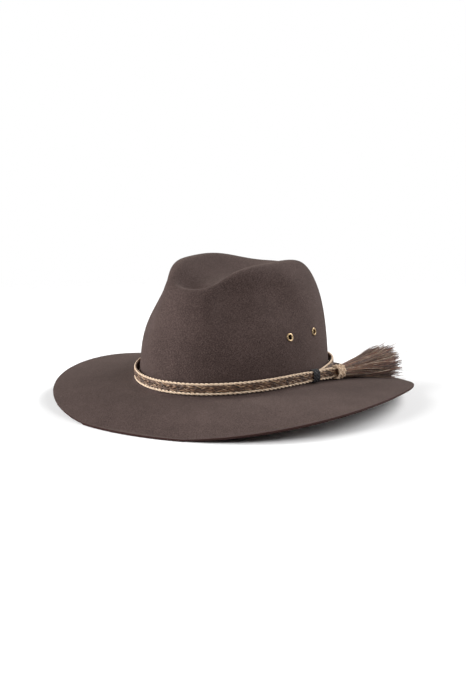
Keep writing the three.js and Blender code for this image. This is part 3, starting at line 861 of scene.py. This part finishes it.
# %% Felt and eyelets take their places
hand_over(felt_hat, felt, "felt", "felt_body")
for piece, node in eyelets:
    hand_over(piece, brass, "brass", node)

# %% [markdown]
# ## The band's path
# The band is one long plait. Its first end is held beside the tail inside the black knot. It goes round the
# back and the front of the crown, leaves the felt along its tangent, and runs straight on as the tail,
# through the black knot and into the ring knot. Its lower cord rests in the curve of the break, which
# settles how high it sits. The path keeps, at every point, the way out from the felt and how far the knots
# squeeze it.

# %% Band path
BAND_HEIGHT = 10.6 * MM
BRAID_THICKNESS = 2.4 * MM
CORD_RADIUS = 1.1 * MM
BAND_GAP = 2.2 * MM
BAND_OUT = BAND_GAP + BRAID_THICKNESS / 2
SEAT = 0.45 * MM
KNOT_SEAT = 0.45 * MM
BAND_LEAVES = np.radians(70)
BAND_STARTS = np.radians(86)
KNOT_SPACING = 30 * MM
BLACK_KNOT_LENGTH = 8 * MM
BLACK_KNOT_WALL = 0.9 * MM
BLACK_SQUEEZE = 0.2
LIFTED_NEAR = 0.31
HELD_LENGTH = 1.5 * BLACK_KNOT_LENGTH
RING_LENGTH = 10 * MM
RING_RADIUS = 6.75 * MM
RING_BORE = 4.5 * MM
RING_CLEAR = 0.35 * MM
RING_ENTRY = 0.55
TAIL_ENDS_BEFORE = 0.1
LOOP_POINTS = 480
TAIL_POINTS = 60

cord_reach = BREAK_RADIUS - SEAT - CORD_RADIUS
CORD_RISE = BREAK_RADIUS - np.sqrt(cord_reach ** 2 - (BREAK_RADIUS - BAND_OUT) ** 2)
BAND_RISE = CORD_RISE - CORD_RADIUS + BAND_HEIGHT / 2


def outward_at(turn):
    along = foot_point(turn + SLOPE_STEP) - foot_point(turn - SLOPE_STEP)
    return unit(np.stack((along[..., 1], -along[..., 0], 0 * along[..., 0]), -1))


def loop_point(turn, extra=0.0):
    extra = np.asarray(extra)
    return foot_point(turn) + outward_at(turn) * (BAND_OUT + extra)[..., None] + UP * BAND_RISE


leave_turn = np.array(BAND_LEAVES)
leave_point = loop_point(leave_turn)
tail_level = loop_point(leave_turn + SLOPE_STEP) - leave_point
tail_level = unit(tail_level * np.array((1, 1, 0)))
tail_side = np.array((tail_level[1], -tail_level[0], 0.0))
TO_BLACK = float((loop_point(np.array(BAND_STARTS)) - leave_point) @ tail_level)
TO_RING = TO_BLACK + KNOT_SPACING
ring_place = leave_point + tail_level * TO_RING
ring_place[2] = brim_top(ring_place[0], ring_place[1]) + SEAT + RING_RADIUS
tail_way = unit(ring_place - leave_point)
tail_up = unit(UP - tail_way * (UP @ tail_way))


def tail_point(along):
    return leave_point + np.multiply.outer(along / TO_RING, ring_place - leave_point)


def band_path():
    start, end = BAND_STARTS, 2 * np.pi + BAND_LEAVES
    turns = np.linspace(start, end, LOOP_POINTS)
    near = bell(turns - start, 0, LIFTED_NEAR)
    points = loop_point(turns, near * BLACK_KNOT_WALL)
    points[:, 2] = mix(points[:, 2], tail_point(np.array(TO_BLACK))[2], near)
    past = points - loop_point(np.array(start), BLACK_KNOT_WALL)
    held = near * bell(past @ tail_level, 0, HELD_LENGTH)
    points -= tail_side * (held * (past @ tail_side))[:, None]
    outs = unit(mix(outward_at(turns), tail_side, held[:, None]))
    squeeze = 1 - BLACK_SQUEEZE * near
    along = np.linspace(0, TO_RING - RING_LENGTH * TAIL_ENDS_BEFORE, TAIL_POINTS)[1:]
    black = 1 - BLACK_SQUEEZE * bell(along, TO_BLACK, BLACK_KNOT_LENGTH)
    in_ring = 2 * np.sqrt((RING_BORE - RING_CLEAR) ** 2 - (BRAID_THICKNESS / 2) ** 2) / BAND_HEIGHT
    ring = mix(1, in_ring, smooth_step(along, TO_RING - RING_LENGTH, TO_RING - RING_LENGTH * RING_ENTRY))
    points = np.concatenate((points, tail_point(along)))
    outs = np.concatenate((outs, np.tile(tail_side, (len(along), 1))))
    return points, outs, np.concatenate((squeeze, np.minimum(black, ring)))


def path_mesh(name, points, outs, squeeze, closed=False):
    """A chain of edges that carries, at each point, its length so far, the way out and the squeeze."""
    count = len(points)
    edges = [(i, (i + 1) % count) for i in range(count if closed else count - 1)]
    mesh = bpy.data.meshes.new(name)
    mesh.from_pydata([tuple(point) for point in points], edges, [])
    steps = np.linalg.norm(np.diff(points, axis=0), axis=1)
    along = np.concatenate(((0,), np.cumsum(steps)))
    mesh.attributes.new("along", "FLOAT", "POINT").data.foreach_set("value", along)
    mesh.attributes.new("squeeze", "FLOAT", "POINT").data.foreach_set("value", squeeze)
    mesh.attributes.new("out", "FLOAT_VECTOR", "POINT").data.foreach_set("vector", outs.ravel())
    return mesh, along[-1]


band_points, band_outs, band_squeeze = band_path()
band_length = path_mesh("measure", band_points, band_outs, band_squeeze)[1]
print("band:", round(band_length / MM), "mm long, middle", round(BAND_RISE / MM, 1), "mm above the foot")

# %% [markdown]
# ## One tree for every plait and cord
# A flat plait is a pattern of waves: each strand swings from edge to edge, and dips under and over as it
# goes. A twisted cord is simpler, with plies that only turn about each other. One Geometry Nodes tree
# makes both. It copies the path once for each strand and again for each ply, then shifts the copies.


# %% The plait tree
FULL_TURN = 2 * np.pi
NUMBERS_PER_STRAND = 37
FIRST_TWIST = 0.12
WANDER_PER_METRE = 90
WANDER_PER_PLY = 3.1
TONE_DRAW = 5


def make_plait_tree():
    tree, path, value = new_geometry_tree("plait_and_twist", {
        "Strands": "Int", "Plait width": "Float", "Plait depth": "Float", "Plait pitch": "Float",
        "Plies": "Int", "Ply offset": "Float", "Ply pitch": "Float", "Ply radius": "Float",
        "Lift": "Float", "Outset": "Float", "Unevenness": "Float", "Step": "Float", "Sides": "Int",
        "Seed": "Int", "Material": "Material"})
    curve = add_node(tree, "GeometryNodeMeshToCurve", {"Mesh": path}).outputs["Curve"]
    even = add_node(tree, "GeometryNodeResampleCurve", {"Curve": curve}, mode="LENGTH")
    plug(tree, value["Step"], even.inputs["Length"])
    strands, strand = copy_splines(tree, even.outputs["Curve"], value["Strands"])
    plies, ply = copy_splines(tree, strands, value["Plies"])
    along = named_field(tree, "along")
    squeeze = named_field(tree, "squeeze")
    out = named_field(tree, "out", "FLOAT_VECTOR")
    identity = strand * NUMBERS_PER_STRAND + ply
    phase = (along / value["Plait pitch"] + strand / value["Strands"]) * FULL_TURN
    plait_up = phase.cos() * value["Plait width"]
    plait_out = (phase * (value["Strands"] - 1)).sin() * value["Plait depth"]
    start = random_field(tree, identity, value["Seed"], 0, FIRST_TWIST) * value["Unevenness"] * PER_METRE
    twist = (along / value["Ply pitch"] + ply / value["Plies"] + start) * FULL_TURN
    ply_up = twist.cos() * value["Ply offset"]
    ply_out = twist.sin() * value["Ply offset"]
    place = add_node(tree, "ShaderNodeCombineXYZ", {
        "X": along * WANDER_PER_METRE, "Y": identity * WANDER_PER_PLY, "Z": value["Seed"]})
    wander = add_node(tree, "ShaderNodeTexNoise", {"Vector": place.outputs[0], "Scale": 1.0, "Detail": 1.0})
    parts = add_node(tree, "ShaderNodeSeparateXYZ", {0: wander.outputs["Color"]})
    wander_up = (Field(tree, parts.outputs[0]) - 0.5) * value["Unevenness"]
    wander_out = (Field(tree, parts.outputs[1]) - 0.5) * value["Unevenness"]
    raised = (value["Lift"] + plait_up) * squeeze + ply_up + wander_up
    pushed = value["Outset"] + plait_out + ply_out + wander_out
    shift = vector_total(tree, scaled(tree, out.socket, pushed), scaled(tree, (0, 0, 1), raised))
    moved = add_node(tree, "GeometryNodeSetPosition", {"Geometry": plies, "Offset": shift})
    tone = random_field(tree, identity, value["Seed"] + TONE_DRAW)
    toned = store_tone(tree, moved.outputs["Geometry"], tone)
    finish_tree(tree, toned, value["Ply radius"], value["Sides"], value["Material"])
    return tree


plait_tree = make_plait_tree()
print("plait tree:", len(plait_tree.nodes), "nodes")

# %% [markdown]
# ## The plaited band and its cords
# The middle of the band is a loose flat plait of five bundles of hair, long in pitch, so that the hairs
# seem to run along it. Each edge has a firm cream cord of two plies.

# %% Band pieces
PLAIT = {"Strands": 5, "Plait width": 2.3 * MM, "Plait depth": 0.45 * MM, "Plait pitch": 34 * MM,
         "Plies": 5, "Ply offset": 0.55 * MM, "Ply pitch": 17 * MM, "Ply radius": 0.42 * MM,
         "Lift": 0.0, "Outset": 0.0, "Unevenness": 0.5 * MM, "Step": 1.25 * MM, "Sides": 5, "Seed": 3}
CORD = {"Strands": 1, "Plait width": 0.0, "Plait depth": 0.0, "Plait pitch": 1.0,
        "Plies": 2, "Ply offset": 0.56 * MM, "Ply pitch": 8.5 * MM, "Ply radius": 0.66 * MM,
        "Outset": 0.0, "Unevenness": 0.12 * MM, "Step": 0.6 * MM, "Sides": 8, "Seed": 11}


def band_piece(name, values, material, slot, node):
    base = path_mesh(name, band_points, band_outs, band_squeeze)[0]
    piece = grow(name, base, plait_tree, {**values, "Material": material})
    hand_over(piece, material, slot, node)


cord_lift = BAND_HEIGHT / 2 - CORD_RADIUS
band_piece("plaited_band", PLAIT, plait_hair, "horsehair", "band_braid")
band_piece("twisted_cord_upper", {**CORD, "Lift": cord_lift}, cream_cord, "cream_cord", "edge_cord_upper")
band_piece("twisted_cord_lower", {**CORD, "Lift": -cord_lift, "Seed": 12}, cream_cord, "cream_cord",
           "edge_cord_lower")

# %% [markdown]
# ## Knots
# Both knots are woven rings of the kind that sailors call a turk's head: one thread that goes round and
# round, weaving over and under itself. Its formula is the plait's, bent into a ring, and it closes on
# itself when the number of leads and the number of bights share no factor. A plain sleeve behind the
# thread stops the eye from seeing through the weave. The black knot is a flat collar, because it holds both
# layers of the band, and the cream one is round.


# %% Woven rings and their sleeves
POINTS_PER_LEAD = 128
COLLAR_SQUARENESS = 3.2
SLEEVE_COLUMNS = 48
SLEEVE_SEGMENTS = 16


def woven_ring(leads, bights, half_length, weave, section, axis):
    """Points of the thread: section gives a place and the way out at an angle round the ring."""
    t = np.linspace(0, 2 * np.pi, POINTS_PER_LEAD * leads, endpoint=False)
    place, way = section(leads * t)
    swing = bights * t
    lift = weave * np.sin((leads - 1) * swing)
    points = place + way * lift[:, None] + np.outer(half_length * np.cos(swing), axis)
    return points, way


def ring_section(radius):
    def section(angle):
        way = np.outer(np.cos(angle), tail_side) + np.outer(np.sin(angle), tail_up)
        return ring_place + way * radius, way
    return section


tail_in_knot = tail_point(np.array(TO_BLACK))
loop_in_knot = loop_point(np.array(BAND_STARTS), BLACK_KNOT_WALL)
layers_apart = float((tail_in_knot - loop_in_knot) @ tail_side)
BLACK_HALF_THICK = (layers_apart + BRAID_THICKNESS) / 2 + KNOT_SEAT + BLACK_KNOT_WALL / 2
BLACK_HALF_TALL = BAND_HEIGHT * (1 - BLACK_SQUEEZE) / 2 + SEAT + BLACK_KNOT_WALL / 2
black_centre = tail_in_knot - tail_side * layers_apart / 2
print("layers of band in the black knot:", round(layers_apart / MM, 1), "mm apart")


def collar_section(grown=0.0):
    def section(angle):
        c, s = np.cos(angle), np.sin(angle)
        size = (np.abs(c) ** COLLAR_SQUARENESS + np.abs(s) ** COLLAR_SQUARENESS) ** (-1 / COLLAR_SQUARENESS)
        across = np.outer((BLACK_HALF_THICK + grown) * size * c, tail_side)
        upward = np.outer((BLACK_HALF_TALL + grown) * size * s, UP)
        way = unit(np.outer(c, tail_side) + np.outer(s, UP))
        return black_centre + across + upward, way
    return section


def sleeve_rows(section, axis, half_length, wall):
    """A closed ring of flat oval section, with the wall as its half thickness."""
    angles = np.linspace(0, 2 * np.pi, SLEEVE_COLUMNS, endpoint=False)
    place, way = section(angles)
    around = np.linspace(0, 2 * np.pi, SLEEVE_SEGMENTS, endpoint=False)
    rows = [place + way * wall * np.sin(a) + axis * half_length * np.cos(a) for a in around]
    return np.array(rows)


# %% The two knots
def knot_piece(name, thread, sleeve, values, material, slot, node):
    points, way = thread
    base, length = path_mesh(name, points, way, np.ones(len(points)), closed=True)
    turns = max(1, round(length / values["Ply pitch"]))
    grown = grow(name, base, plait_tree, {**values, "Ply pitch": length / turns, "Material": material})
    faces = skin_faces(len(sleeve), sleeve.shape[1], closed=True)
    join_pieces(grown, add_object(name + "_core", mesh_from(name + "_core", sleeve.reshape(-1, 3), faces)))
    hand_over(grown, material, slot, node)


KNOT_THREAD = {**CORD, "Lift": 0.0, "Unevenness": 0.0, "Step": 0.5 * MM}
BLACK_WEAVE = {"leads": 7, "bights": 12, "half_length": 3.6 * MM, "weave": 0.28 * MM}
CREAM_WEAVE = {"leads": 5, "bights": 8, "half_length": 4.0 * MM, "weave": 0.5 * MM}
BLACK_WEAVE_GROWN = 0.25 * MM
CREAM_WEAVE_RADIUS = 5.7 * MM
CREAM_SLEEVE_RADIUS = 5.2 * MM
BLACK_SLEEVE = {"half_length": 3.8 * MM, "wall": 0.35 * MM}
CREAM_SLEEVE = {"half_length": 4.2 * MM, "wall": 0.7 * MM}

knot_piece("woven_black_knot",
           woven_ring(**BLACK_WEAVE, section=collar_section(BLACK_WEAVE_GROWN), axis=tail_level),
           sleeve_rows(collar_section(), tail_level, **BLACK_SLEEVE),
           {**KNOT_THREAD, "Ply offset": 0.2 * MM, "Ply radius": 0.36 * MM, "Ply pitch": 3 * MM, "Sides": 6},
           black_thread, "black_thread", "black_knot")
knot_piece("woven_ring_knot",
           woven_ring(**CREAM_WEAVE, section=ring_section(CREAM_WEAVE_RADIUS), axis=tail_way),
           sleeve_rows(ring_section(CREAM_SLEEVE_RADIUS), tail_way, **CREAM_SLEEVE),
           {**KNOT_THREAD, "Ply offset": 0.4 * MM, "Ply radius": 0.52 * MM, "Ply pitch": 5 * MM, "Sides": 7},
           cream_cord, "cream_cord", "ring_knot")

# %% [markdown]
# ## The tassel
# A tassel is a bundle of hairs tied at one end. The tree copies one line for every hair, gives each its own
# place in the root, its own length and its own bend, and lets neighbours lean together so that they gather
# into locks. It is used twice: once for the dense body, and once for a few longer, finer and wilder hairs
# that stand out of it. Where hairs would sink into the brim they are laid on it.

# %% The tassel tree
TASSEL_LENGTH = 74 * MM
TASSEL_ROOT = 5.5 * MM
TASSEL_SPREAD = 15 * MM
TASSEL_IN_RING = 2 * MM
LENGTHS_LEAN_LONG = 0.6
LOCK_FINENESS = 2.4
LOCK_CHANGES = 1.3
TIP_THINS = 0.6
LOCK_TONE = 0.7
HAIR_SIDES = 3
tassel_start = RING_LENGTH / 2 - TASSEL_IN_RING


def make_tassel_tree():
    tree, line, value = new_geometry_tree("tassel_hairs", {
        "Hairs": "Int", "Length": "Float", "Shortest": "Float", "Root": "Float", "Spread": "Float",
        "Bend": "Float", "Lock": "Float", "Rise": "Float", "Hair radius": "Float", "Points": "Int",
        "Origin": "Vector", "Axis": "Vector", "Side": "Vector", "Upward": "Vector",
        "Seed": "Int", "Material": "Material"})
    curve = add_node(tree, "GeometryNodeMeshToCurve", {"Mesh": line}).outputs["Curve"]
    even = add_node(tree, "GeometryNodeResampleCurve", {"Curve": curve}, mode="COUNT")
    plug(tree, value["Points"], even.inputs["Count"])
    hairs, hair = copy_splines(tree, even.outputs["Curve"], value["Hairs"])
    share = Field(tree, add_node(tree, "GeometryNodeSplineParameter").outputs["Factor"])
    seed = value["Seed"]

    def chance(offset, low=0.0, high=1.0):
        return random_field(tree, hair, seed + offset, low, high)

    angle = chance(1, 0, 2 * np.pi)
    radius = chance(2) ** 0.5    # a square root spreads the roots evenly over a disc
    span = value["Length"] * (value["Shortest"] + (1 - value["Shortest"]) * (chance(3) ** LENGTHS_LEAN_LONG))
    across = angle.cos() * radius
    upward = angle.sin() * radius
    reach = value["Root"] + (value["Spread"] - value["Root"]) * share
    bend = share * share * value["Bend"]
    place = add_node(tree, "ShaderNodeCombineXYZ", {
        "X": across * LOCK_FINENESS, "Y": upward * LOCK_FINENESS, "Z": share * LOCK_CHANGES})
    leaning = add_node(tree, "ShaderNodeTexNoise", {"Vector": place.outputs[0], "Scale": 1.0, "Detail": 2.0})
    lean = add_node(tree, "ShaderNodeSeparateXYZ", {0: leaning.outputs["Color"]})
    lean_side = (Field(tree, lean.outputs[0]) - 0.5) * value["Lock"] * share
    lean_up = (Field(tree, lean.outputs[1]) - 0.5) * value["Lock"] * share
    sideways = across * reach + lean_side + bend * chance(4, -1, 1)
    rising = upward * reach + lean_up + bend * chance(5, -1, 1) + value["Rise"] * share * share
    position = vector_total(
        tree, value["Origin"].socket, scaled(tree, value["Axis"].socket, share * span),
        scaled(tree, value["Side"].socket, sideways), scaled(tree, value["Upward"].socket, rising))
    moved = add_node(tree, "GeometryNodeSetPosition", {"Geometry": hairs, "Position": position})
    thin = add_node(tree, "GeometryNodeSetCurveRadius", {"Curve": moved.outputs["Geometry"]})
    plug(tree, 1 - share * share * TIP_THINS, thin.inputs["Radius"])
    tone = chance(6) + (Field(tree, lean.outputs[2]) - 0.5) * LOCK_TONE
    toned = store_tone(tree, thin.outputs["Curve"], tone)
    finish_tree(tree, toned, value["Hair radius"], HAIR_SIDES, value["Material"])
    return tree


tassel_tree = make_tassel_tree()
print("tassel tree:", len(tassel_tree.nodes), "nodes")


# %% The tassel's hairs
BRIM_CLEAR = 0.3 * MM


def line_mesh(name):
    mesh = bpy.data.meshes.new(name)
    mesh.from_pydata([(0, 0, 0), (0, 0, 1)], [(0, 1)], [])
    return mesh


def lay_on_brim(piece, clearance):
    """Lifts the vertices that would lie in the felt to just above it."""
    count = len(piece.data.vertices)
    places = np.empty(count * 3)
    piece.data.vertices.foreach_get("co", places)
    places = places.reshape(-1, 3)
    floor = brim_top(places[:, 0], places[:, 1]) + clearance
    places[:, 2] = np.maximum(places[:, 2], floor)
    piece.data.vertices.foreach_set("co", places.ravel())
    piece.data.update()


HAIRS = {"Length": TASSEL_LENGTH - tassel_start, "Root": TASSEL_ROOT, "Points": 9,
         "Origin": tuple(ring_place + tail_way * tassel_start), "Axis": tuple(tail_way),
         "Side": tuple(tail_side), "Upward": tuple(tail_up)}
DENSE = {**HAIRS, "Hairs": 1500, "Shortest": 0.6, "Spread": TASSEL_SPREAD, "Bend": 3 * MM, "Lock": 10 * MM,
         "Rise": 0.5 * MM, "Hair radius": 0.28 * MM, "Seed": 21}
LOOSE = {**HAIRS, "Hairs": 130, "Length": TASSEL_LENGTH + 4 * MM, "Shortest": 0.75,
         "Spread": TASSEL_SPREAD + 3 * MM, "Bend": 8 * MM, "Lock": 14 * MM, "Rise": 2 * MM,
         "Hair radius": 0.13 * MM, "Seed": 43}


dense = grow("tassel_hairs", line_mesh("tassel"), tassel_tree, {**DENSE, "Material": tassel_hair})
loose = grow("loose_hairs", line_mesh("loose"), tassel_tree, {**LOOSE, "Material": tassel_hair})
join_pieces(dense, loose)
lay_on_brim(dense, BRIM_CLEAR)
hand_over(dense, tassel_hair, "tassel_hair", "tassel")

# %% [markdown]
# ## Light and floor
# The picture was made on a white sweep with wide soft lights. The strongest stands low on the left, the
# next behind on the right, so both edges of the crown shine, and three weaker ones fill the front and the
# right. The floor is plain and pale, and only holds the soft shadow under the brim.


# %% Floor
FLOOR_PLAIN = 0.45
FLOOR_ENDS = 1.1
FLOOR_SEGMENTS = 96
FLOOR_SHADE = (0.92, 0.92, 0.92, 1)


def make_floor():
    """A pale disc that thins out into the white sky, so that no horizon shows."""
    mesh = bpy.data.meshes.new("pale_floor")
    shape = bmesh.new()
    bmesh.ops.create_circle(shape, cap_ends=True, segments=FLOOR_SEGMENTS, radius=FLOOR_ENDS)
    shape.to_mesh(mesh)
    shape.free()
    floor = add_object("pale_floor", mesh)
    material, tree, shader = new_material("pale_floor", roughness=0.9)
    shader.inputs["Base Color"].default_value = FLOOR_SHADE
    shader.inputs["Specular IOR Level"].default_value = 0.0
    place = add_node(tree, "ShaderNodeTexCoord").outputs["Object"]
    reach = add_node(tree, "ShaderNodeVectorMath", {0: place}, operation="LENGTH")
    fade = add_node(tree, "ShaderNodeMapRange", {"Value": reach.outputs["Value"], "From Min": FLOOR_PLAIN,
                                                 "From Max": FLOOR_ENDS, "To Min": 1.0, "To Max": 0.0})
    fade.interpolation_type = "SMOOTHSTEP"
    plug(tree, fade.outputs["Result"], shader.inputs["Alpha"])
    mesh.materials.append(material)


make_floor()

# %% Lamps and sky
SKY_STRENGTH = 0.06
LAMP_DISTANCE = 2.2
LAMP_SIZE = 1.2
LAMPS = (
    {"name": "low_left", "bearing": -90, "height": 20, "power": 58},
    {"name": "front_left", "bearing": -50, "height": 30, "power": 27},
    {"name": "front_right", "bearing": 50, "height": 40, "power": 14},
    {"name": "low_right", "bearing": 90, "height": 25, "power": 20},
    {"name": "behind_right", "bearing": 122, "height": 35, "power": 36},
)


def soft_lamp(name, bearing, height, power):
    """A round soft box, placed by its bearing from the camera's side of the hat and its height in degrees."""
    way = direction_at(AZIMUTH + np.radians(bearing), np.radians(height))
    data = bpy.data.lights.new(name, "AREA")
    data.shape = "DISK"
    data.size = LAMP_SIZE
    data.energy = power
    lamp = bpy.data.objects.new(name, data)
    turn = way.to_track_quat("Z", "Y").to_matrix().to_4x4()
    lamp.matrix_world = Matrix.Translation(AIM + way * LAMP_DISTANCE) @ turn
    bpy.context.scene.collection.objects.link(lamp)


def make_world():
    """White where the camera looks straight at it, but a dim light, so that the lamps give the shape."""
    world = bpy.data.worlds.new("white_sweep")
    world.use_nodes = True
    tree = world.node_tree
    seen = add_node(tree, "ShaderNodeLightPath").outputs["Is Camera Ray"]
    strength = add_node(tree, "ShaderNodeMapRange", {"Value": seen, "To Min": SKY_STRENGTH, "To Max": 1.0})
    tree.nodes["Background"].inputs["Color"].default_value = (1, 1, 1, 1)
    tree.links.new(strength.outputs["Result"], tree.nodes["Background"].inputs["Strength"])
    bpy.context.scene.world = world


make_world()
for lamp in LAMPS:
    soft_lamp(**lamp)
bpy.context.scene.view_settings.view_transform = "Standard"
print("stage: floor, sky and", len(LAMPS), "lamps")
